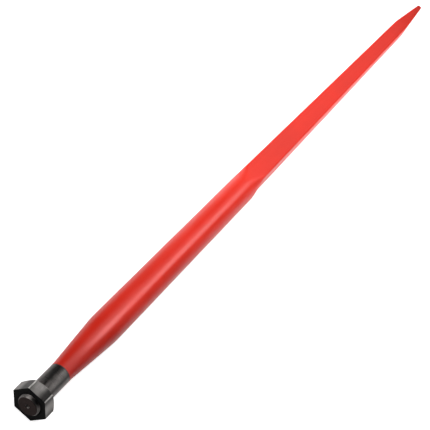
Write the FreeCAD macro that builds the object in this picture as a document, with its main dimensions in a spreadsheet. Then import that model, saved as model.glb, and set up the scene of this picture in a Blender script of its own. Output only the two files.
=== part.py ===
"""Bale spear: a forged steel spear with a hexagon nut on its threaded stud.

Frame: +X runs along the spear from the nut to the point, +Z is up from the flat
that the nut rests on, and the origin is the centre of the nut's bearing face.
Lengths are in millimetres and angles in degrees.
"""
import FreeCAD
import Part
import Sketcher
import math
import os

# Driving dimensions: alias, value, what it sets.
SIZES = [
    ("stud_diameter", 30.0, "threaded stud and bare shank"),
    ("stud_overhang", 4.2, "how far the stud stands out of the nut"),
    ("stud_chamfer", 1.6, "bevel at the end of the stud"),
    ("centre_hole_mouth", 6.3, "diameter of the 60 degree countersink in the stud's end"),
    ("centre_hole_pilot", 2.5, "diameter of the pilot hole below the countersink"),
    ("centre_hole_depth", 7.0, "end of the stud to the bottom of the pilot hole"),
    ("nut_across_flats", 46.0, "hexagon, flat to flat"),
    ("nut_height", 20.5, "outer face to bearing face"),
    ("nut_corner_radius", 1.0, "rounding of the six long edges"),
    ("nut_crown_diameter", 42.6, "raised ring on the bearing side, where the crown's cone starts"),
    ("nut_crown_height", 0.8, "height of the raised ring"),
    ("nut_crown_angle", 30.0, "slope of the cone that trims the corners"),
    ("nut_countersink", 0.9, "bevel at both mouths of the bore"),
    ("thread_clearance", 0.1, "radial gap between the stud and the nut's bore"),
    ("shank_length", 52.0, "bearing face to the start of the flare"),
    ("flare_length", 94.0, "shank to the thickest place"),
    ("flare_root_radius", 60.0, "blend from the shank into the flare"),
    ("flare_crest_radius", 250.0, "blend from the flare into the body"),
    ("body_diameter", 44.7, "thickest place, before its blend"),
    ("body_length", 379.0, "round part, thickest place to the shoulder"),
    ("body_end_diameter", 41.4, "round part at the shoulder"),
    ("shoulder_length", 43.0, "change from round to square"),
    ("square_side", 33.3, "square part at the shoulder, flat to flat"),
    ("square_edge_radius", 2.6, "its long edges at the shoulder"),
    ("square_length", 560.0, "shoulder to the start of the point"),
    ("square_roll", -6.0, "turn of the square part about X, against the nut's flats"),
    ("square_offset", 0.9, "square part, off the stud's axis along Y"),
    ("point_side", 22.2, "square part at the start of the point, flat to flat"),
    ("point_edge_radius", 2.2, "its long edges at the start of the point"),
    ("point_length", 97.0, "start of the point to the tip"),
    ("tip_side", 7.8, "blunt end, flat to flat"),
    ("tip_edge_radius", 2.4, "its long edges at the tip"),
    ("tip_round", 2.0, "rounding of the blunt end"),
]
SHEET = "sizes"

# Places along X from the nut's bearing face, as expressions of the sizes.
NUT_OUTER_FACE = "-sizes.nut_height"
STUD_END = "-(sizes.nut_height + sizes.stud_overhang)"
FLARE_START = "sizes.shank_length"
BODY_START = FLARE_START + " + sizes.flare_length"
SHOULDER_START = BODY_START + " + sizes.body_length"
SQUARE_START = SHOULDER_START + " + sizes.shoulder_length"
POINT_START = SQUARE_START + " + sizes.square_length"
TIP = POINT_START + " + sizes.point_length"

# The sketcher's numbers for the ends and centre of a line or arc, and for its origin.
START = 1
END = 2
CENTRE = 3
ORIGIN = (-1, START)
# How close two places count as flush, in millimetres.
FLUSH = 0.001


def make_sheet(doc):
    """The spreadsheet that drives every size."""
    sheet = doc.addObject("Spreadsheet::Sheet", SHEET)
    for row, (alias, value, meaning) in enumerate(SIZES, start=1):
        sheet.set(f"A{row}", alias)
        sheet.set(f"B{row}", str(value))
        sheet.setAlias(f"B{row}", alias)
        sheet.set(f"C{row}", meaning)
    doc.recompute()


def origin_part(body, role):
    """The body's own origin plane or axis of that role."""
    for feature in body.Origin.OriginFeatures:
        if feature.Role == role:
            return feature
    raise LookupError(role)


def make_sketch(body, name, role):
    """An empty sketch on one of the body's origin planes."""
    sketch = body.newObject("Sketcher::SketchObject", name)
    sketch.AttachmentSupport = (origin_part(body, role), [""])
    sketch.MapMode = "FlatFace"
    return sketch


def make_section(body, name, place):
    """An empty sketch across the spear at one place along X; its x axis is the row's Y."""
    sketch = make_sketch(body, name, "YZ_Plane")
    sketch.setExpression("AttachmentOffset.Base.z", place)
    return sketch


def bind(sketch, name, constraint, expression):
    """Add a constraint and drive it by an expression."""
    index = sketch.addConstraint(constraint)
    sketch.renameConstraint(index, name)
    sketch.setExpression(f"Constraints.{name}", expression)


def add_profile(sketch, corners):
    """Closed outline of straight lines.

    Each corner is an (x, y) pair of expressions, and a third entry names the size
    that blends the two lines that meet there.
    """
    count = len(corners)
    step = 2 * math.pi / count
    start = [FreeCAD.Vector(math.cos(step * i), math.sin(step * i), 0) for i in range(count)]
    for i in range(count):
        sketch.addGeometry(Part.LineSegment(start[i], start[(i + 1) % count]), False)
    for i in range(count):
        sketch.addConstraint(Sketcher.Constraint("Coincident", i, END, (i + 1) % count, START))
    for i, (x, y, *_) in enumerate(corners):
        across = Sketcher.Constraint("DistanceX", *ORIGIN, i, START, start[i].x)
        bind(sketch, f"corner_{i}_x", across, x)
        up = Sketcher.Constraint("DistanceY", *ORIGIN, i, START, start[i].y)
        bind(sketch, f"corner_{i}_y", up, y)
    sketch.Document.recompute()
    for i, (_, _, *blend) in enumerate(corners):
        for alias in blend:
            arc = sketch.GeometryCount
            radius = getattr(sketch.Document.getObject(SHEET), alias)
            sketch.fillet(i, START, radius, True, True)
            bind(sketch, alias, Sketcher.Constraint("Radius", arc, radius), f"{SHEET}.{alias}")


def add_circle(sketch, diameter):
    """A circle about the sketch's origin."""
    normal = FreeCAD.Vector(0, 0, 1)
    sketch.addGeometry(Part.Circle(FreeCAD.Vector(0, 0, 0), normal, 1.0), False)
    sketch.addConstraint(Sketcher.Constraint("Coincident", 0, CENTRE, *ORIGIN))
    bind(sketch, "diameter", Sketcher.Constraint("Diameter", 0, 2.0), diameter)


def add_rounded_square(sketch, side, radius):
    """A square about the sketch's origin, with rounded corners."""
    half = 10.0
    flat = 8.0
    turn = FreeCAD.Rotation(FreeCAD.Vector(0, 0, 1), 90)
    ends = [FreeCAD.Vector(-flat, -half, 0), FreeCAD.Vector(flat, -half, 0)]
    centre = FreeCAD.Vector(flat, -flat, 0)
    for quarter in range(4):
        sketch.addGeometry(Part.LineSegment(*ends), False)
        circle = Part.Circle(centre, FreeCAD.Vector(0, 0, 1), half - flat)
        first = math.radians(90 * (quarter - 1))
        sketch.addGeometry(Part.ArcOfCircle(circle, first, first + math.pi / 2), False)
        ends = [turn * end for end in ends]
        centre = turn * centre
    for quarter in range(4):
        line = 2 * quarter
        arc = line + 1
        level = "Vertical" if quarter % 2 else "Horizontal"
        sketch.addConstraint(Sketcher.Constraint(level, line))
        sketch.addConstraint(Sketcher.Constraint("Tangent", line, END, arc, START))
        sketch.addConstraint(Sketcher.Constraint("Tangent", arc, END, (line + 2) % 8, START))
        if quarter:
            sketch.addConstraint(Sketcher.Constraint("Equal", 1, arc))
    bind(sketch, "corner_radius", Sketcher.Constraint("Radius", 1, half - flat), radius)
    for name, constraint in (
        ("below", Sketcher.Constraint("DistanceY", 0, START, *ORIGIN, half)),
        ("right", Sketcher.Constraint("DistanceX", *ORIGIN, 2, START, half)),
        ("above", Sketcher.Constraint("DistanceY", *ORIGIN, 4, START, half)),
        ("left", Sketcher.Constraint("DistanceX", 6, START, *ORIGIN, half)),
    ):
        bind(sketch, name, constraint, side + " / 2")


def revolve(body, kind, name, corners):
    """Turn a profile about the spear's axis, to add it or to cut it away."""
    sketch = make_sketch(body, name + "_profile", "XY_Plane")
    add_profile(sketch, corners)
    feature = body.newObject(kind, name)
    feature.Profile = sketch
    feature.ReferenceAxis = (origin_part(body, "X_Axis"), [""])
    feature.Angle = 360.0
    sketch.Document.recompute()
    return feature


def fillet(body, name, radius, chosen):
    """Round the edges of the body that the chosen test accepts."""
    below = body.Tip
    edges = [f"Edge{i}" for i, edge in enumerate(below.Shape.Edges, start=1) if chosen(edge)]
    feature = body.newObject("PartDesign::Fillet", name)
    feature.Base = (below, edges)
    feature.setExpression("Radius", radius)
    body.Document.recompute()
    return feature


def make_spear(doc):
    """One forging: threaded stud, bare shank, flare, round body, square part and point."""
    body = doc.addObject("PartDesign::Body", "spear")
    body.Label = "spear"

    stud_radius = "sizes.stud_diameter / 2"
    revolve(body, "PartDesign::Revolution", "round_part", [
        (STUD_END, "0"),
        (SHOULDER_START, "0"),
        (SHOULDER_START, "sizes.body_end_diameter / 2"),
        (BODY_START, "sizes.body_diameter / 2", "flare_crest_radius"),
        (FLARE_START, stud_radius, "flare_root_radius"),
        (STUD_END + " + sizes.stud_chamfer", stud_radius),
        (STUD_END, stud_radius + " - sizes.stud_chamfer"),
    ])

    mouth_radius = "sizes.centre_hole_mouth / 2"
    pilot_radius = "sizes.centre_hole_pilot / 2"
    countersink_depth = f"({mouth_radius} - {pilot_radius}) / tan(30)"
    revolve(body, "PartDesign::Groove", "centre_hole", [
        (STUD_END, "0"),
        (STUD_END, mouth_radius),
        (f"{STUD_END} + {countersink_depth}", pilot_radius),
        (STUD_END + " + sizes.centre_hole_depth", pilot_radius),
        (STUD_END + " + sizes.centre_hole_depth", "0"),
    ])

    round_section = make_section(body, "round_section", SHOULDER_START)
    add_circle(round_section, "sizes.body_end_diameter")
    sections = [round_section]
    for name, place in (("square", SQUARE_START), ("point", POINT_START), ("tip", TIP)):
        section = make_section(body, name + "_section", place)
        section.setExpression("AttachmentOffset.Base.x", "sizes.square_offset")
        section.setExpression("AttachmentOffset.Rotation.Angle", "sizes.square_roll")
        add_rounded_square(section, f"sizes.{name}_side", f"sizes.{name}_edge_radius")
        sections.append(section)
    for name, near, far in zip(("shoulder", "square_part", "point"), sections, sections[1:]):
        loft = body.newObject("PartDesign::AdditiveLoft", name)
        loft.Profile = near
        loft.Sections = [far]
        loft.Ruled = True
        doc.recompute()

    tip = loft.Shape.BoundBox.XMax
    fillet(body, "blunt_end", "sizes.tip_round", lambda edge: edge.BoundBox.XMin > tip - FLUSH)
    return body


def make_nut(doc):
    """Hexagon nut, flat and sharp outside, with a trimmed crown on the bearing side."""
    body = doc.addObject("PartDesign::Body", "hex_nut")
    body.Label = "hex_nut"

    corner_radius = "sizes.nut_across_flats / 2 / cos(30)"
    corners = []
    for angle in range(0, 360, 60):
        corners.append((f"{corner_radius} * cos({angle})", f"{corner_radius} * sin({angle})"))
    hexagon = make_section(body, "hexagon", NUT_OUTER_FACE)
    add_profile(hexagon, corners)
    blank = body.newObject("PartDesign::Pad", "blank")
    blank.Profile = hexagon
    blank.setExpression("Length", "sizes.nut_height")
    doc.recompute()
    length = blank.Shape.BoundBox.XLength
    fillet(body, "long_edges", "sizes.nut_corner_radius",
           lambda edge: edge.BoundBox.XLength > length - FLUSH)

    crown_radius = "sizes.nut_crown_diameter / 2"
    beyond = "sizes.nut_across_flats"
    slope = f"({beyond} - {crown_radius}) * tan(sizes.nut_crown_angle)"
    revolve(body, "PartDesign::Groove", "crown", [
        ("0", crown_radius),
        ("0", beyond),
        (f"-sizes.nut_crown_height - {slope}", beyond),
        ("-sizes.nut_crown_height", crown_radius),
    ])

    bore_radius = "(sizes.stud_diameter / 2 + sizes.thread_clearance)"
    revolve(body, "PartDesign::Groove", "bore", [
        (NUT_OUTER_FACE, "0"),
        (NUT_OUTER_FACE, bore_radius + " + sizes.nut_countersink"),
        (NUT_OUTER_FACE + " + sizes.nut_countersink", bore_radius),
        ("-sizes.nut_countersink", bore_radius),
        ("0", bore_radius + " + sizes.nut_countersink"),
        ("0", "0"),
    ])
    return body


def main():
    doc = FreeCAD.newDocument("bale_spear")
    make_sheet(doc)
    nodes = [make_spear(doc), make_nut(doc)]
    doc.recompute()
    for item in doc.Objects:
        if "Invalid" in item.State or "Error" in item.State:
            raise RuntimeError(f"{item.Label} failed: {item.State}")
    os.makedirs("parts", exist_ok=True)
    for node in nodes:
        if node.Shape.isNull() or not node.Shape.isValid():
            raise RuntimeError(f"{node.Label} has no valid shape")
        node.Shape.exportStep(f"parts/{node.Label}.step")
        box = node.Shape.BoundBox
        print(f"{node.Label}: {node.Shape.Volume:.0f} mm3, {box.XLength:.2f} long")


main()
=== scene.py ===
"""Looks of the bale spear: its forging, thread, paint and nut, and the studio round it.

The spear is a drop forging of medium carbon steel. Its stud and shank are bare and
blackened, and from the flare to the point it wears a coat of sprayed red enamel.
Every length is in metres.
"""

import math

import bmesh
import bpy
from bpy.props import FloatProperty, FloatVectorProperty, IntProperty, PointerProperty
from mathutils import Matrix, Vector


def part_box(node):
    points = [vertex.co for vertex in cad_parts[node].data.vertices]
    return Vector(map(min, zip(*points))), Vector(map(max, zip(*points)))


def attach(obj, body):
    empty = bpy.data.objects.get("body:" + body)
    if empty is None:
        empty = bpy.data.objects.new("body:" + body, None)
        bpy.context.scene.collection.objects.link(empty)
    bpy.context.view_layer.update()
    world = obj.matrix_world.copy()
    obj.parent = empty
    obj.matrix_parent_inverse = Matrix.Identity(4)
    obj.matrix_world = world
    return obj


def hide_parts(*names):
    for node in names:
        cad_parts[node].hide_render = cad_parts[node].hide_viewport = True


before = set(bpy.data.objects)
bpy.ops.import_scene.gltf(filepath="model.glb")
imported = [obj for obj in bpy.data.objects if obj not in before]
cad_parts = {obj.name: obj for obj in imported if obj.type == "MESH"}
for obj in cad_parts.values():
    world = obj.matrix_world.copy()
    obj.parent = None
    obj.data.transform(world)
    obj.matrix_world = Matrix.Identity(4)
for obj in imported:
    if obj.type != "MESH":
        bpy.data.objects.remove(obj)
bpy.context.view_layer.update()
MM = 0.001

STEPS_PER_PITCH = 16
BODY_RINGS = 36
TIP_STEPS = 9
SHOULDER_RINGS, SQUARE_RINGS, POINT_RINGS = 26, 70, 24
CORNER_STEPS, FLAT_STEPS = 8, 14
NUT_FACE_RINGS = 6

bl_info = {
    "name": "Bale Spear",
    "version": (1, 0, 0),
    "blender": (4, 5, 0),
    "location": "View3D > Sidebar > Bale Spear",
    "description": "Builds a forged bale spear with its nut, and a studio to show it in",
    "category": "Object",
}

SPEAR_LOW, SPEAR_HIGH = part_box("spear")
NUT_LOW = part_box("hex_nut")[0]


def linear(hex_colour):
    """An sRGB hex colour as linear red, green and blue."""
    channels = [int(hex_colour[i:i + 2], 16) / 255 for i in (1, 3, 5)]
    return [c / 12.92 if c <= 0.04045 else ((c + 0.055) / 1.055) ** 2.4 for c in channels]


def length(name, description, default_mm):
    """A length that the sidebar shows in the scene's units."""
    return FloatProperty(name=name, description=description, default=default_mm * MM,
                         min=0.0, subtype="DISTANCE", unit="LENGTH", precision=5)


def colour(name, description, hex_colour):
    """A colour that the sidebar shows as a swatch."""
    return FloatVectorProperty(name=name, description=description, size=3, subtype="COLOR",
                               default=linear(hex_colour), min=0.0, max=1.0)


class SpearSizes(bpy.types.PropertyGroup):
    """Sizes of the forging, as the solid has them, and of its thread and paint."""
    stud_diameter: length("Stud", "Diameter of the stud and the bare shank", 30.0)
    stud_chamfer: length("Stud Bevel", "Bevel at the end of the stud", 1.6)
    centre_hole_mouth: length("Centre Hole", "Diameter of its countersink", 6.3)
    centre_hole_pilot: length("Pilot Hole", "Diameter of its drilled bottom", 2.5)
    centre_hole_depth: length("Hole Depth", "From the stud's end to its bottom", 7.0)
    thread_pitch: length("Thread Pitch", "Crest to crest", 2.0)
    thread_depth: length("Thread Depth", "Crest to root", 1.1)
    thread_length: length("Thread Length", "How far it is cut; the nut hides the rest", 12.0)
    shank_length: length("Shank", "Nut's bearing face to the flare", 52.0)
    flare_length: length("Flare", "Shank to the thickest place", 94.0)
    flare_root_radius: length("Flare Root", "Blend radius at the shank", 60.0)
    flare_crest_radius: length("Flare Crest", "Blend radius at the thickest place", 250.0)
    body_diameter: length("Body", "Diameter at the thickest place", 44.7)
    body_length: length("Body Length", "Thickest place to the shoulder", 379.0)
    body_end_diameter: length("Body End", "Diameter at the shoulder", 41.4)
    shoulder_length: length("Shoulder", "Change from round to square", 43.0)
    square_side: length("Square", "Flat to flat at the shoulder", 33.3)
    square_edge_radius: length("Square Edges", "Rounding at the shoulder", 2.6)
    square_length: length("Square Length", "Shoulder to the point", 560.0)
    square_offset: length("Square Offset", "Off the stud's axis along Y", 0.9)
    square_roll: FloatProperty(name="Square Roll", description="Turn of the square part about X",
                               default=math.radians(-6.0), subtype="ANGLE", unit="ROTATION")
    point_side: length("Point", "Flat to flat where the point starts", 22.2)
    point_edge_radius: length("Point Edges", "Rounding where the point starts", 2.2)
    point_length: length("Point Length", "Start of the point to the tip", 97.0)
    tip_side: length("Tip", "Flat to flat at the blunt end", 7.8)
    tip_edge_radius: length("Tip Edges", "Rounding at the blunt end", 2.4)
    tip_round: length("Tip Rounding", "Rounding of the blunt end", 2.0)
    coat_start: length("Coat Start", "Nut's bearing face to the edge of the paint", 45.0)
    coat_thickness: length("Coat", "Thickness of the paint", 0.12)
    unevenness: length("Unevenness", "How far hammer work leaves the surface off true", 0.25)
    segments: IntProperty(name="Segments", description="Faces round the forging",
                          default=160, min=16, max=256)


class NutSizes(bpy.types.PropertyGroup):
    """Sizes of the nut, as the solid has them."""
    across_flats: length("Across Flats", "Hexagon, flat to flat", 46.0)
    height: length("Height", "Outer face to bearing face", 20.5)
    corner_radius: length("Corner Radius", "Rounding of the six long edges", 1.0)
    crown_diameter: length("Crown", "Raised ring on the bearing side", 42.6)
    crown_height: length("Crown Height", "Height of the raised ring", 0.8)
    crown_angle: FloatProperty(name="Crown Angle", description="Slope of the crown's cone",
                               default=math.radians(30.0), subtype="ANGLE", unit="ROTATION")
    bore: length("Bore", "Diameter of the threaded hole", 30.2)
    countersink: length("Countersink", "Bevel at both mouths of the bore", 0.9)
    edge_break: length("Edge Break", "Small rounding left on the sharp edges", 0.2)


class SpearColours(bpy.types.PropertyGroup):
    """Colours of the finishes and of the floor."""
    paint: colour("Enamel", "Sprayed red enamel", "#EE2D1B")
    steel: colour("Blackened Steel", "Stud and shank", "#6E6A68")
    stud_end: colour("Stud End", "Sawn end of the stud, browned by its oil", "#554A48")
    nut: colour("Nut Steel", "Flats of the nut", "#7E7B79")
    worn_steel: colour("Worn Steel", "Bright corners of the nut", "#D5D2CE")
    # The nut face's near-black is partly painted shade.
    nut_face_painted_shade: colour("Nut Face", "Matt outer face of the nut", "#121212")
    floor: colour("Floor", "Studio floor", "#EDEDED")


def add_node(tree, kind, *values, sockets=None, **settings):
    """Add a node with its settings, and fill its sockets in order or by name.

    A value may be a plain value, a socket, or a node, which gives its first output in use.
    """
    node = tree.nodes.new(kind)
    for name, value in settings.items():
        setattr(node, name, value)
    ready = [socket for socket in node.inputs if socket.enabled]
    pairs = list(zip(ready, values))
    for name, value in (sockets or {}).items():
        pairs.append((next(socket for socket in ready if socket.name == name), value))
    for socket, value in pairs:
        if isinstance(value, bpy.types.Node):
            value = next(output for output in value.outputs if output.enabled)
        if isinstance(value, bpy.types.NodeSocket):
            tree.links.new(value, socket)
        else:
            socket.default_value = value
    return node


def new_material(name):
    """An empty material and its node tree."""
    material = bpy.data.materials.new(name)
    material.use_nodes = True
    material.node_tree.nodes.clear()
    return material, material.node_tree


# The forging is a row of stations, from the bottom of the centre hole to the tip. Each
# is (x, half width, edge radius, offset, thread), and is round where its edge radius
# equals its half width.

def ease(share):
    """Smooth start and stop between 0 and 1."""
    return share * share * (3 - 2 * share)


def blend_arc(before, corner, after, radius, steps):
    """Points of the arc that rounds one corner of the (x, radius) outline."""
    incoming = (Vector(corner) - Vector(before)).normalized()
    outgoing = (Vector(after) - Vector(corner)).normalized()
    turn = math.atan2(incoming.x * outgoing.y - incoming.y * outgoing.x, incoming.dot(outgoing))
    start = Vector(corner) - incoming * radius * math.tan(abs(turn) / 2)
    side = 1 if turn > 0 else -1
    centre = start + Vector((-incoming.y, incoming.x)) * radius * side
    return [centre + Matrix.Rotation(turn * step / steps, 2) @ (start - centre)
            for step in range(steps + 1)]


def stud_stations(size):
    """The centre hole, end face, bevel and thread of the stud."""
    end = SPEAR_LOW.x
    radius = size.stud_diameter / 2
    mouth = size.centre_hole_mouth / 2
    pilot = size.centre_hole_pilot / 2
    sink = (mouth - pilot) / math.tan(math.radians(30))
    face = radius - size.stud_chamfer
    outline = [(end + size.centre_hole_depth, pilot * share) for share in (0.0, 0.5, 0.96, 1.0)]
    outline += [(end + size.centre_hole_depth - 0.1 * MM, pilot), (end + sink * 1.04, pilot)]
    outline += [(end + sink * share, mouth - (mouth - pilot) * share)
                for share in (0.96, 0.5, 0.06)]
    outline += [(end + 0.02 * MM, mouth + 0.08 * MM), (end, mouth + 0.3 * MM)]
    outline += [(end, mouth + (face - mouth) * share) for share in (0.3, 0.65, 0.97, 1.0)]
    stations = [(x, half, half, 0.0, 0.0) for x, half in outline]
    step = size.thread_pitch / STEPS_PER_PITCH
    for ring in range(1, int(size.thread_length / step)):
        along = ring * step
        half = min(radius, face + along)
        stations.append((end + along, half, half, 0.0, min(1.0, along / size.stud_chamfer)))
    stations.append((end + size.thread_length, radius, radius, 0.0, 0.0))
    return stations


def round_stations(size):
    """The bare shank, the edge of the paint, the flare and the round body."""
    shank = size.stud_diameter / 2
    body = size.body_diameter / 2
    body_end = size.body_end_diameter / 2
    coat = size.coat_thickness
    crest = size.shank_length + size.flare_length
    shoulder = crest + size.body_length
    places = [(0.0, shank), (size.shank_length, shank), (crest, body), (shoulder, body_end)]
    root = blend_arc(*places[:3], size.flare_root_radius, 6)
    crown = blend_arc(*places[1:], size.flare_crest_radius, 12)

    outline = [(x * MM, shank) for x in (-6.0, 0.0, 6.0, 14.0, 22.0, 30.0, 38.0)]
    outline += [(size.coat_start - 0.6 * MM, shank), (size.coat_start - 0.02 * MM, shank)]
    for share in (0.25, 0.6, 1.0):
        turn = share * math.pi / 2
        outline.append((size.coat_start + coat * (1 - math.cos(turn)),
                        shank + coat * math.sin(turn)))
    outline += [(p.x, p.y + coat) for p in root if p.x > size.coat_start + coat]
    for share in (0.1, 0.25, 0.4, 0.55, 0.7, 0.85):
        place = root[-1].lerp(crown[0], share)
        outline.append((place.x, place.y + coat * (1 - share)))
    outline += [(p.x, p.y) for p in crown]
    for ring in range(1, BODY_RINGS):
        place = crown[-1].lerp(Vector((shoulder, body_end)), ring / BODY_RINGS)
        outline.append((place.x, place.y))
    return [(x, half, half, 0.0, 0.0) for x, half in outline]


def square_stations(size):
    """The shoulder, the tapered square part, the point and its blunt end."""
    tip = SPEAR_HIGH.x
    point = tip - size.point_length
    square = point - size.square_length
    shoulder = square - size.shoulder_length
    offset = size.square_offset
    round_end = (shoulder, size.body_end_diameter / 2, size.body_end_diameter / 2, 0.0)
    square_start = (square, size.square_side / 2, size.square_edge_radius, offset)
    point_start = (point, size.point_side / 2, size.point_edge_radius, offset)
    blunt = (tip, size.tip_side / 2, size.tip_edge_radius, offset)
    stations = []
    for near, far, rings, shape in (
        (round_end, square_start, SHOULDER_RINGS, ease),
        (square_start, point_start, SQUARE_RINGS, float),
        (point_start, blunt, POINT_RINGS, float),
    ):
        for ring in range(rings):
            share = ring / rings
            way = shape(share)
            x = near[0] + (far[0] - near[0]) * share
            stations.append((x, *(a + (b - a) * way for a, b in zip(near[1:], far[1:])), 0.0))
    stations = [station for station in stations if station[0] < tip - size.tip_round]
    half = size.tip_side / 2
    for ring in range(TIP_STEPS + 1):
        turn = ring / TIP_STEPS * math.pi / 2
        drop = size.tip_round * (1 - math.cos(turn))
        x = tip - size.tip_round * (1 - math.sin(turn))
        taper = (size.point_side - size.tip_side) / 2 * (tip - x) / size.point_length
        edge = max(size.tip_edge_radius - drop, 0.3 * MM)
        stations.append((x, half + taper - drop, edge, offset, 0.0))
    stations.append((tip, half * 0.4, 0.2 * MM, offset, 0.0))
    stations.append((tip, 0.0, 0.0, offset, 0.0))
    return stations


def station_mesh(stations):
    """A mesh of loose points, one for each station, for the tree to read."""
    mesh = bpy.data.meshes.new("stations")
    mesh.from_pydata([station[:3] for station in stations], [], [])
    for name, column in (("offset", 3), ("thread", 4)):
        layer = mesh.attributes.new(name, "FLOAT", "POINT")
        layer.data.foreach_set("value", [station[column] for station in stations])
    return mesh


def forging_tree():
    """Geometry Nodes tree that skins a row of stations into one closed forging."""
    tree = bpy.data.node_groups.new("Forged Bar", "GeometryNodeTree")
    for name, kind, default in (
        ("Stations", "NodeSocketGeometry", None), ("Segments", "NodeSocketInt", 128),
        ("Roll", "NodeSocketFloat", 0.0), ("Thread Pitch", "NodeSocketFloat", 0.002),
        ("Thread Depth", "NodeSocketFloat", 0.001), ("Coat Start", "NodeSocketFloat", 0.044),
        ("Unevenness", "NodeSocketFloat", 0.0), ("Steel", "NodeSocketMaterial", None),
        ("Paint", "NodeSocketMaterial", None),
    ):
        socket = tree.interface.new_socket(name, in_out="INPUT", socket_type=kind)
        if default is not None:
            socket.default_value = default
    tree.interface.new_socket("Forging", in_out="OUTPUT", socket_type="NodeSocketGeometry")
    given = tree.nodes.new("NodeGroupInput").outputs

    # One row of the grid for each station, and one column for each step round. Steps are
    # closer near the square part's edges, so that their rounding is smooth.
    rows = add_node(tree, "GeometryNodeAttributeDomainSize", given["Stations"], component="MESH")
    columns = add_node(tree, "ShaderNodeMath", given["Segments"], 1.0, operation="ADD")
    grid = add_node(tree, "GeometryNodeMeshGrid", 1.0, 1.0, rows.outputs["Point Count"], columns)
    index = add_node(tree, "GeometryNodeInputIndex")
    row = add_node(tree, "ShaderNodeMath", index, 0.5, operation="ADD")
    row = add_node(tree, "ShaderNodeMath", row, columns, operation="DIVIDE")
    row = add_node(tree, "ShaderNodeMath", row, operation="FLOOR")
    before = add_node(tree, "ShaderNodeMath", row, columns, operation="MULTIPLY")
    column = add_node(tree, "ShaderNodeMath", index, before, operation="SUBTRACT")
    share = add_node(tree, "ShaderNodeMath", column, given["Segments"], operation="DIVIDE")
    even = add_node(tree, "ShaderNodeMath", share, math.tau, operation="MULTIPLY")
    four = add_node(tree, "ShaderNodeMath", even, 4.0, operation="MULTIPLY")
    wave = add_node(tree, "ShaderNodeMath", four, operation="SINE")
    angle = add_node(tree, "ShaderNodeMath", wave, 0.16, even, operation="MULTIPLY_ADD")

    place = add_node(tree, "GeometryNodeInputPosition")
    place = add_node(tree, "GeometryNodeSampleIndex", given["Stations"], place, row,
                     data_type="FLOAT_VECTOR", domain="POINT")
    place = add_node(tree, "ShaderNodeSeparateXYZ", place).outputs
    offset = add_node(tree, "GeometryNodeInputNamedAttribute", "offset", data_type="FLOAT")
    offset = add_node(tree, "GeometryNodeSampleIndex", given["Stations"], offset, row,
                      data_type="FLOAT", domain="POINT")
    thread = add_node(tree, "GeometryNodeInputNamedAttribute", "thread", data_type="FLOAT")
    thread = add_node(tree, "GeometryNodeSampleIndex", given["Stations"], thread, row,
                      data_type="FLOAT", domain="POINT")

    # The thread is a wave along X that moves on by one pitch in each turn round the stud.
    turns = add_node(tree, "ShaderNodeMath", angle, math.tau, operation="DIVIDE")
    pitches = add_node(tree, "ShaderNodeMath", place["X"], given["Thread Pitch"],
                       operation="DIVIDE")
    phase = add_node(tree, "ShaderNodeMath", pitches, turns, operation="SUBTRACT")
    phase = add_node(tree, "ShaderNodeMath", phase, 0.5, operation="PINGPONG")
    groove = add_node(tree, "ShaderNodeMath", phase, 2.6, -0.2,
                      operation="MULTIPLY_ADD", use_clamp=True)
    groove = add_node(tree, "ShaderNodeMath", groove, thread, operation="MULTIPLY")
    groove = add_node(tree, "ShaderNodeMath", groove, given["Thread Depth"], operation="MULTIPLY")
    half = add_node(tree, "ShaderNodeMath", place["Y"], groove, operation="SUBTRACT")
    edge = add_node(tree, "ShaderNodeMath", place["Z"], half, operation="MINIMUM")

    # Across the bar the outline is a square whose corners the edge radius rounds.
    cosine = add_node(tree, "ShaderNodeMath", angle, operation="COSINE")
    sine = add_node(tree, "ShaderNodeMath", angle, operation="SINE")
    wide = add_node(tree, "ShaderNodeMath", cosine, operation="ABSOLUTE")
    tall = add_node(tree, "ShaderNodeMath", sine, operation="ABSOLUTE")
    largest = add_node(tree, "ShaderNodeMath", wide, tall, operation="MAXIMUM")
    scale = add_node(tree, "ShaderNodeMath", half, largest, operation="DIVIDE")
    spoke = add_node(tree, "ShaderNodeCombineXYZ", 0.0, cosine, sine)
    square = add_node(tree, "ShaderNodeVectorMath", spoke, operation="SCALE",
                      sockets={"Scale": scale})
    core = add_node(tree, "ShaderNodeMath", half, edge, operation="SUBTRACT")
    most = add_node(tree, "ShaderNodeCombineXYZ", core, core, core)
    least = add_node(tree, "ShaderNodeVectorMath", most, operation="SCALE", sockets={"Scale": -1.0})
    inner = add_node(tree, "ShaderNodeVectorMath", square, most, operation="MINIMUM")
    inner = add_node(tree, "ShaderNodeVectorMath", inner, least, operation="MAXIMUM")
    outward = add_node(tree, "ShaderNodeVectorMath", square, inner, operation="SUBTRACT")
    outward = add_node(tree, "ShaderNodeVectorMath", outward, operation="NORMALIZE")
    outward = add_node(tree, "ShaderNodeVectorMath", outward, operation="SCALE",
                       sockets={"Scale": edge})
    across = add_node(tree, "ShaderNodeVectorMath", inner, outward, operation="ADD")
    across = add_node(tree, "ShaderNodeVectorRotate", rotation_type="X_AXIS",
                      sockets={"Vector": across, "Angle": given["Roll"]})
    along = add_node(tree, "ShaderNodeCombineXYZ", place["X"], offset, 0.0)
    position = add_node(tree, "ShaderNodeVectorMath", across, along, operation="ADD")
    skin = add_node(tree, "GeometryNodeSetPosition",
                    sockets={"Geometry": grid, "Position": position})
    skin = add_node(tree, "GeometryNodeMergeByDistance",
                    sockets={"Geometry": skin, "Distance": 0.002 * MM})
    skin = add_node(tree, "GeometryNodeFlipFaces", skin)

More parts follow.
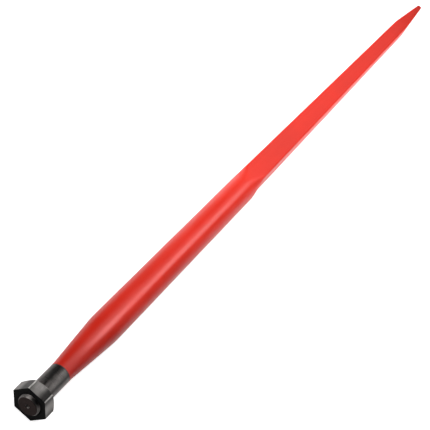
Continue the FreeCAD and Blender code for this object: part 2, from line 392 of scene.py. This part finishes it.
    # Hammer work leaves the forged part slightly off true, in patches about 40 mm long. It
    # grows from nothing to its full depth along the flare.
    position = add_node(tree, "GeometryNodeInputPosition")
    along = add_node(tree, "ShaderNodeSeparateXYZ", position).outputs["X"]
    coated = add_node(tree, "FunctionNodeCompare", along, given["Coat Start"],
                      data_type="FLOAT", operation="GREATER_THAN")
    flare = add_node(tree, "ShaderNodeMapRange", along, 100 * MM, 200 * MM, 0.0, 1.0)
    noise = add_node(tree, "ShaderNodeTexNoise", position, sockets={"Scale": 25.0, "Detail": 1.0})
    depth = add_node(tree, "ShaderNodeMath", noise, 0.5, operation="SUBTRACT")
    depth = add_node(tree, "ShaderNodeMath", depth, given["Unevenness"], operation="MULTIPLY")
    depth = add_node(tree, "ShaderNodeMath", depth, flare, operation="MULTIPLY")
    normal = add_node(tree, "GeometryNodeInputNormal")
    push = add_node(tree, "ShaderNodeVectorMath", normal, operation="SCALE",
                    sockets={"Scale": depth})
    skin = add_node(tree, "GeometryNodeSetPosition", sockets={"Geometry": skin, "Offset": push})

    skin = add_node(tree, "GeometryNodeSetShadeSmooth", skin)
    skin = add_node(tree, "GeometryNodeRealizeInstances", skin)
    skin = add_node(tree, "GeometryNodeSetMaterial", sockets={
        "Geometry": skin, "Material": given["Steel"]})
    skin = add_node(tree, "GeometryNodeSetMaterial", sockets={
        "Geometry": skin, "Selection": coated, "Material": given["Paint"]})
    add_node(tree, "NodeGroupOutput", skin)
    return tree


def blackened_steel(colours):
    """Turned and oil-blackened carbon steel: a dark metal with a soft sheen in bands.

    The lathe leaves rings round the shank, and the black oxide is slightly cloudy.
    """
    material, tree = new_material("oil_blackened_turned_steel")
    place = add_node(tree, "ShaderNodeTexCoord").outputs["Object"]
    axes = add_node(tree, "ShaderNodeSeparateXYZ", place).outputs
    # The rings are 0.4 mm apart, coarser than the real feed of 0.2 mm so that they show.
    squeeze = add_node(tree, "ShaderNodeVectorMath", place, (2500.0, 60.0, 60.0),
                       operation="MULTIPLY")
    rings = add_node(tree, "ShaderNodeTexNoise", squeeze, sockets={"Scale": 1.0, "Detail": 2.0})
    cloud = add_node(tree, "ShaderNodeTexNoise", place, sockets={"Scale": 120.0, "Detail": 4.0})
    end_face = add_node(tree, "ShaderNodeMapRange", axes["X"],
                        SPEAR_LOW.x + 0.05 * MM, SPEAR_LOW.x + 0.4 * MM, 1.0, 0.0)
    tone = add_node(tree, "ShaderNodeMapRange", cloud, 0.3, 0.7, 0.8, 1.15)
    steel = add_node(tree, "ShaderNodeMix", data_type="RGBA", blend_type="MULTIPLY", sockets={
        "Factor": 1.0, "A": (*colours.steel, 1.0), "B": tone})
    brown = add_node(tree, "ShaderNodeMix", data_type="RGBA", sockets={
        "Factor": end_face, "A": steel, "B": (*colours.stud_end, 1.0)})
    rough = add_node(tree, "ShaderNodeMapRange", rings, 0.3, 0.7, 0.26, 0.40)
    rough = add_node(tree, "ShaderNodeMath", rough, end_face, operation="MAXIMUM")
    bump = add_node(tree, "ShaderNodeBump", sockets={
        "Strength": 0.25, "Distance": 0.03 * MM, "Height": rings})
    shader = add_node(tree, "ShaderNodeBsdfPrincipled", sockets={
        "Base Color": brown, "Metallic": 1.0, "Roughness": rough, "Normal": bump})
    add_node(tree, "ShaderNodeOutputMaterial", shader)
    return material


def red_enamel(colours):
    """Sprayed alkyd enamel on forged steel: a full red with a broad, soft highlight.

    Its surface has the fine orange peel of a sprayed coat, and the coat is a little
    thinner and darker in places.
    """
    material, tree = new_material("sprayed_red_enamel")
    place = add_node(tree, "ShaderNodeTexCoord").outputs["Object"]
    # Orange peel is about 1.5 mm across.
    peel = add_node(tree, "ShaderNodeTexNoise", place, sockets={"Scale": 650.0, "Detail": 2.0})
    # The spray's passes vary the coat over about 60 mm.
    passes = add_node(tree, "ShaderNodeTexNoise", place, sockets={"Scale": 16.0, "Detail": 3.0})
    tone = add_node(tree, "ShaderNodeMapRange", passes, 0.3, 0.7, 0.93, 1.03)
    red = add_node(tree, "ShaderNodeMix", data_type="RGBA", blend_type="MULTIPLY", sockets={
        "Factor": 1.0, "A": (*colours.paint, 1.0), "B": tone})
    rough = add_node(tree, "ShaderNodeMapRange", passes, 0.3, 0.7, 0.30, 0.38)
    bump = add_node(tree, "ShaderNodeBump", sockets={
        "Strength": 0.15, "Distance": 0.05 * MM, "Height": peel})
    shader = add_node(tree, "ShaderNodeBsdfPrincipled", sockets={
        "Base Color": red, "Roughness": rough, "IOR": 1.5, "Normal": bump})
    add_node(tree, "ShaderNodeOutputMaterial", shader)
    return material


def drawn_steel(colours):
    """Cold-drawn and blackened hexagon bar: grey flats with fine lines along the nut's axis.

    The flats carry painted sheen and shade by their angle; the long corners are worn to bright
    steel.
    """
    material, tree = new_material("blackened_drawn_steel")
    place = add_node(tree, "ShaderNodeTexCoord").outputs["Object"]
    axes = add_node(tree, "ShaderNodeSeparateXYZ", place).outputs
    # Drawing lines are 0.5 mm apart, about twice as coarse as the real ones.
    stretch = add_node(tree, "ShaderNodeVectorMath", place, (60.0, 2000.0, 2000.0),
                       operation="MULTIPLY")
    lines = add_node(tree, "ShaderNodeTexNoise", stretch, sockets={"Scale": 1.0, "Detail": 3.0})
    cloud = add_node(tree, "ShaderNodeTexNoise", place, sockets={"Scale": 90.0, "Detail": 4.0})
    tone = add_node(tree, "ShaderNodeMath", lines, cloud, operation="ADD")
    tone = add_node(tree, "ShaderNodeMapRange", tone, 0.7, 1.3, 0.78, 1.2)
    # Painted sheen and shade: bright lobes 72 degrees apart, so that neighbouring flats look
    # different.
    turn = add_node(tree, "ShaderNodeMath", axes["Y"], axes["Z"], operation="ARCTAN2")
    turn = add_node(tree, "ShaderNodeMath", turn, 5.0, math.radians(-45.0),
                    operation="MULTIPLY_ADD")
    painted_sheen = add_node(tree, "ShaderNodeMath", turn, operation="COSINE")
    painted_sheen = add_node(tree, "ShaderNodeMapRange", painted_sheen, -0.8, 1.0, 0.3, 1.5,
                     interpolation_type="SMOOTHSTEP")
    # The painted sheen and shade scale the flats' colour between 0.3 and 1.5 times.
    tone = add_node(tree, "ShaderNodeMath", tone, painted_sheen, operation="MULTIPLY")
    grey = add_node(tree, "ShaderNodeMix", data_type="RGBA", blend_type="MULTIPLY", sockets={
        "Factor": 1.0, "A": (*colours.nut, 1.0), "B": tone})
    across = add_node(tree, "ShaderNodeCombineXYZ", 0.0, axes["Y"], axes["Z"])
    reach = add_node(tree, "ShaderNodeVectorMath", across, operation="LENGTH").outputs["Value"]
    worn = add_node(tree, "ShaderNodeMapRange", reach, 25.9 * MM, 26.15 * MM, 0.0, 1.0)
    steel = add_node(tree, "ShaderNodeMix", data_type="RGBA", sockets={
        "Factor": worn, "A": grey, "B": (*colours.worn_steel, 1.0)})
    rough = add_node(tree, "ShaderNodeMapRange", lines, 0.3, 0.7, 0.3, 0.42)
    bump = add_node(tree, "ShaderNodeBump", sockets={
        "Strength": 0.2, "Distance": 0.04 * MM, "Height": lines})
    shader = add_node(tree, "ShaderNodeBsdfPrincipled", sockets={
        "Base Color": steel, "Metallic": 1.0, "Roughness": rough, "Normal": bump})
    add_node(tree, "ShaderNodeOutputMaterial", shader)
    return material


def phosphated_face_painted_shade(colours):
    """Faced, black-phosphated steel, made deep matt black as painted shade: it hardly reflects."""
    material, tree = new_material("black_phosphate_and_painted_shade")
    place = add_node(tree, "ShaderNodeTexCoord").outputs["Object"]
    # The crystals are drawn 0.5 mm across, far coarser than real ones, so that they show.
    grain = add_node(tree, "ShaderNodeTexNoise", place, sockets={"Scale": 1800.0, "Detail": 3.0})
    tone = add_node(tree, "ShaderNodeMapRange", grain, 0.3, 0.7, 0.7, 1.3)
    black = add_node(tree, "ShaderNodeMix", data_type="RGBA", blend_type="MULTIPLY", sockets={
        "Factor": 1.0, "A": (*colours.nut_face_painted_shade, 1.0), "B": tone})
    rough = add_node(tree, "ShaderNodeMapRange", grain, 0.3, 0.7, 0.6, 0.8)
    bump = add_node(tree, "ShaderNodeBump", sockets={
        "Strength": 0.2, "Distance": 0.05 * MM, "Height": grain})
    shader = add_node(tree, "ShaderNodeBsdfPrincipled", sockets={
        "Base Color": black, "Roughness": rough, "Specular IOR Level": 0.12, "Normal": bump})
    add_node(tree, "ShaderNodeOutputMaterial", shader)
    return material


def add_object(name, mesh):
    """Put a mesh in the scene as an object at the origin."""
    piece = bpy.data.objects.new(name, mesh)
    bpy.context.collection.objects.link(piece)
    return piece


class BALESPEAR_OT_forging(bpy.types.Operator):
    """Build the spear's forging with its stud, thread and paint"""
    bl_idname = "balespear.forging"
    bl_label = "Forging"

    def execute(self, context):
        size = context.scene.spear_sizes
        colours = context.scene.spear_colours
        stations = stud_stations(size) + round_stations(size) + square_stations(size)
        piece = add_object("forged_spear", station_mesh(stations))
        tree = forging_tree()
        skin = piece.modifiers.new("Forged Bar", "NODES")
        skin.node_group = tree
        for name, value in (
            ("Segments", size.segments), ("Roll", size.square_roll),
            ("Thread Pitch", size.thread_pitch), ("Thread Depth", size.thread_depth),
            ("Coat Start", size.coat_start), ("Unevenness", size.unevenness),
            ("Steel", blackened_steel(colours)), ("Paint", red_enamel(colours)),
        ):
            skin[tree.interface.items_tree[name].identifier] = value
        made = piece.evaluated_get(context.evaluated_depsgraph_get())
        mesh = bpy.data.meshes.new_from_object(made)
        piece.modifiers.clear()
        piece.data = mesh
        if not mesh.polygons:
            raise RuntimeError("The forging's tree made no faces")
        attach(piece, "root")
        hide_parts("spear")
        return {"FINISHED"}


def hexagon_outline(apothem, rounding):
    """(angle, radius) pairs round a hexagon with rounded corners, a flat towards +Z."""
    points = []
    reach = (apothem - rounding) / math.cos(math.radians(30))
    for corner in range(6):
        middle = math.radians(60 * corner)
        centre = Vector((math.cos(middle), math.sin(middle))) * reach
        for step in range(CORNER_STEPS + 1):
            turn = middle + math.radians(-30 + 60 * step / CORNER_STEPS)
            points.append(centre + Vector((math.cos(turn), math.sin(turn))) * rounding)
        last = points[-1]
        ahead = Matrix.Rotation(math.radians(60), 2) @ points[-CORNER_STEPS - 1]
        points += [last.lerp(ahead, step / FLAT_STEPS) for step in range(1, FLAT_STEPS)]
    return [(math.atan2(p.y, p.x), p.length) for p in points]


def nut_mesh(size):
    """The nut as rings of faces: each ring is one (x, radius) place of every column."""
    out = -size.height
    bore = size.bore / 2
    mouth = bore + size.countersink
    crown = size.crown_diameter / 2
    soft = size.edge_break
    rise = size.crown_height
    slope = math.tan(size.crown_angle)
    cone = math.hypot(1, slope)
    outline = hexagon_outline(size.across_flats / 2, size.corner_radius)
    rings = []
    for angle, radius in outline:
        brow = -rise - (radius - crown) * slope
        column = [
            (out + size.countersink, bore), (out + 0.04 * MM, mouth - 0.06 * MM),
            (out, mouth + 0.06 * MM), (out, mouth + 0.5 * MM), (out, radius * 0.82),
            (out, radius - soft * 1.6), (out, radius - soft),
            (out + soft * 0.3, radius - soft * 0.3), (out + soft, radius),
            (out + soft * 1.6, radius), (out + 3 * MM, radius), (out / 2, radius),
            (brow - 2 * MM, radius), (brow - soft * 1.6, radius), (brow - soft, radius),
            (brow - soft * 0.2, radius - soft * 0.2),
            (brow + soft * slope / cone, radius - soft / cone),
            (brow + 2 * soft * slope / cone, radius - 2 * soft / cone),
            (-rise - 0.3 * MM * slope, crown + 0.3 * MM), (-rise, crown + 0.06 * MM),
            (-rise + 0.06 * MM, crown), (-0.15 * MM, crown), (0.0, crown - 0.15 * MM),
            (0.0, crown - 0.6 * MM), (0.0, mouth + 0.6 * MM), (0.0, mouth + 0.06 * MM),
            (-0.04 * MM, mouth - 0.06 * MM), (-size.countersink, bore),
        ]
        rings.append([(x, r * math.cos(angle), r * math.sin(angle)) for x, r in column])
    count = len(rings[0])
    work = bmesh.new()
    columns = [[work.verts.new(place) for place in column] for column in rings]
    for here, ahead in zip(columns, columns[1:] + columns[:1]):
        for ring in range(count):
            above = (ring + 1) % count
            face = work.faces.new((here[ring], here[above], ahead[above], ahead[ring]))
            face.smooth = True
            # The outer face's rings take the black face material, which is partly painted shade.
            face.material_index = 1 if ring < NUT_FACE_RINGS else 0
    bmesh.ops.recalc_face_normals(work, faces=work.faces)
    mesh = bpy.data.meshes.new("hex_nut_skin")
    work.to_mesh(mesh)
    work.free()
    return mesh


class BALESPEAR_OT_nut(bpy.types.Operator):
    """Build the hexagon nut with its crown and broken edges"""
    bl_idname = "balespear.nut"
    bl_label = "Nut"

    def execute(self, context):
        colours = context.scene.spear_colours
        mesh = nut_mesh(context.scene.nut_sizes)
        mesh.materials.append(drawn_steel(colours))
        mesh.materials.append(phosphated_face_painted_shade(colours))
        piece = add_object("hex_nut_skin", mesh)
        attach(piece, "root")
        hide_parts("hex_nut")
        return {"FINISHED"}


def add_softbox(name, at, aim, side, distance, size, radiance, lights=True, shines=True):
    """A softbox beside the spear at one place along X, aimed at another place on its axis.

    Side is the angle in degrees from straight above, towards -Y. Size is (along, across).
    One that lights but doesn't shine makes no highlight, as a polarised lamp does, and one
    that shines but doesn't light only makes its highlight.
    """
    lamp = bpy.data.lights.new(name, "AREA")
    lamp.shape = "RECTANGLE"
    lamp.size, lamp.size_y = size
    lamp.energy = radiance * math.pi * lamp.size * lamp.size_y
    holder = bpy.data.objects.new(name, lamp)
    bpy.context.collection.objects.link(holder)
    swing = Matrix.Rotation(math.radians(side), 4, "X")
    tilt = Matrix.Rotation(math.atan2(at - aim, distance), 4, "Y")
    holder.matrix_world = swing @ Matrix.Translation((at, 0, distance)) @ tilt
    holder.visible_camera = False
    holder.visible_diffuse = lights
    holder.visible_glossy = shines


# Name, place along X, place it is aimed at, side, distance, (along, across), radiance. The
# lighting boxes make no highlights. Of the shining ones, the strips give the body one long
# highlight, and the rest are the highlights of the shank, the nut and the stud. The box
# behind the far end does both.
LIGHTING_BOXES = (
    ("top_near", -0.05, -0.05, -8.0, 0.45, (0.5, 0.3), 0.7),
    ("top_mid", 0.45, 0.45, -8.0, 0.45, (0.5, 0.3), 3.8),
    ("top_far", 1.05, 1.05, -8.0, 0.45, (0.5, 0.3), 2.1),
    ("left_near", -0.05, -0.05, -75.0, 0.45, (0.5, 0.3), 0.8),
    ("left_far", 0.95, 0.95, -75.0, 0.45, (0.5, 0.3), 5.6),
    ("right_far", 0.95, 0.95, 80.0, 0.45, (0.5, 0.3), 5.4),
)
SHINING_BOXES = (
    ("strip_flare", 0.176, 0.176, 16.0, 0.12, (0.05, 0.055), 7.0),
    ("strip_crest", 0.235, 0.235, 16.0, 0.12, (0.07, 0.055), 5.4),
    ("strip_body", 0.36, 0.36, 16.0, 0.12, (0.18, 0.055), 4.3),
    ("strip_end", 0.55, 0.55, 16.0, 0.12, (0.20, 0.055), 3.2),
    ("shank_side", 0.092, 0.092, 42.0, 0.12, (0.07, 0.11), 1.2),
    ("nut_top", 0.066, 0.066, -9.0, 0.12, (0.03, 0.03), 3.0),
    ("nut_corner", 0.063, 0.063, -60.0, 0.12, (0.025, 0.04), 3.0),
    ("stud_rim", -0.42, -0.02, -53.0, 0.42, (0.3, 0.3), 5.0),
)
FAR_END_BOX = ("far_end", 2.9, 1.0, -9.0, 1.5, (1.4, 1.2), 0.6)

# How brightly the camera and a reflection see the paper, and how the room lights the rest.
PAPER_SEEN = 0.93
PAPER_REFLECTED = 0.3
ROOM_LIGHT = 0.01

# The camera's place, the direction behind it, the one to its right, and its lens in mm.
CAMERA_PLACE = Vector((-1.1042, -0.0937, 1.4488))
CAMERA_BACK = Vector((-0.73037, -0.04449, 0.68161))
CAMERA_RIGHT = Vector((0.4791, -0.74461, 0.46477))
CAMERA_LENS = 123.7
SENSOR_WIDTH = 36.0


def white_floor(colours):
    """Seamless white background paper: even, matt, and pale where a shadow falls."""
    material, tree = new_material("background_paper")
    light = add_node(tree, "ShaderNodeLightPath")
    bounced = add_node(tree, "ShaderNodeMath", light.outputs["Is Glossy Ray"],
                       light.outputs["Is Transmission Ray"], operation="MAXIMUM")
    bounced = add_node(tree, "ShaderNodeMath", bounced, PAPER_REFLECTED, operation="MULTIPLY")
    seen = add_node(tree, "ShaderNodeMath", light.outputs["Is Camera Ray"], PAPER_SEEN,
                    operation="MULTIPLY")
    seen = add_node(tree, "ShaderNodeMath", seen, bounced, operation="MAXIMUM")
    paper = add_node(tree, "ShaderNodeBsdfDiffuse", (*colours.floor, 1.0))
    glow = add_node(tree, "ShaderNodeEmission", (1.0, 1.0, 1.0, 1.0), seen)
    both = add_node(tree, "ShaderNodeAddShader", paper, glow)
    add_node(tree, "ShaderNodeOutputMaterial", both)
    return material


class BALESPEAR_OT_stage(bpy.types.Operator):
    """Lay the white floor, and set up the soft lights, the world and the camera"""
    bl_idname = "balespear.stage"
    bl_label = "Stage"

    def execute(self, context):
        scene = context.scene
        colours = scene.spear_colours
        work = bmesh.new()
        bmesh.ops.create_grid(work, x_segments=1, y_segments=1, size=30.0)
        bmesh.ops.translate(work, vec=(0.6, 0.0, NUT_LOW.z), verts=work.verts)
        mesh = bpy.data.meshes.new("floor")
        work.to_mesh(mesh)
        work.free()
        mesh.materials.append(white_floor(colours))
        floor = add_object("floor", mesh)

        world = bpy.data.worlds.new("studio")
        world.use_nodes = True
        tree = world.node_tree
        tree.nodes.clear()
        light = add_node(tree, "ShaderNodeLightPath").outputs
        level = add_node(tree, "ShaderNodeMath", light["Is Camera Ray"], ROOM_LIGHT,
                         operation="MAXIMUM")
        room = add_node(tree, "ShaderNodeBackground", (1.0, 1.0, 1.0, 1.0), level)
        add_node(tree, "ShaderNodeOutputWorld", room)
        scene.world = world

        for box in LIGHTING_BOXES:
            add_softbox(*box, shines=False)
        for box in SHINING_BOXES:
            add_softbox(*box, lights=False)
        add_softbox(*FAR_END_BOX)

        back = CAMERA_BACK.normalized()
        right = (CAMERA_RIGHT - back * CAMERA_RIGHT.dot(back)).normalized()
        lens = bpy.data.cameras.new("camera")
        lens.lens = CAMERA_LENS
        lens.sensor_width = SENSOR_WIDTH
        lens.clip_start = 0.1
        lens.clip_end = 100.0
        camera = bpy.data.objects.new("camera", lens)
        context.collection.objects.link(camera)
        turn = Matrix((right, back.cross(right), back)).transposed()
        camera.matrix_world = Matrix.Translation(CAMERA_PLACE) @ turn.to_4x4()
        scene.camera = camera
        scene.view_settings.view_transform = "Standard"
        return {"FINISHED"}


class BALESPEAR_PT_sidebar(bpy.types.Panel):
    """Lists the pieces, their sizes and their colours"""
    bl_idname = "BALESPEAR_PT_sidebar"
    bl_label = "Bale Spear"
    bl_space_type = "VIEW_3D"
    bl_region_type = "UI"
    bl_category = "Bale Spear"

    def draw(self, context):
        for operator in OPERATORS:
            self.layout.operator(operator.bl_idname)
        for group in GROUPS:
            box = self.layout.box()
            box.label(text=group.__doc__)
            for name in group.__annotations__:
                box.prop(getattr(context.scene, GROUPS[group]), name)


GROUPS = {SpearSizes: "spear_sizes", NutSizes: "nut_sizes", SpearColours: "spear_colours"}
OPERATORS = (BALESPEAR_OT_forging, BALESPEAR_OT_nut, BALESPEAR_OT_stage)


def register():
    for group, name in GROUPS.items():
        bpy.utils.register_class(group)
        setattr(bpy.types.Scene, name, PointerProperty(type=group))
    for cls in (*OPERATORS, BALESPEAR_PT_sidebar):
        bpy.utils.register_class(cls)


def unregister():
    for cls in (BALESPEAR_PT_sidebar, *reversed(OPERATORS)):
        bpy.utils.unregister_class(cls)
    for group, name in GROUPS.items():
        delattr(bpy.types.Scene, name)
        bpy.utils.unregister_class(group)


def main():
    register()
    for operator in OPERATORS:
        group, name = operator.bl_idname.split(".")
        getattr(getattr(bpy.ops, group), name)()


if __name__ == "__main__":
    main()
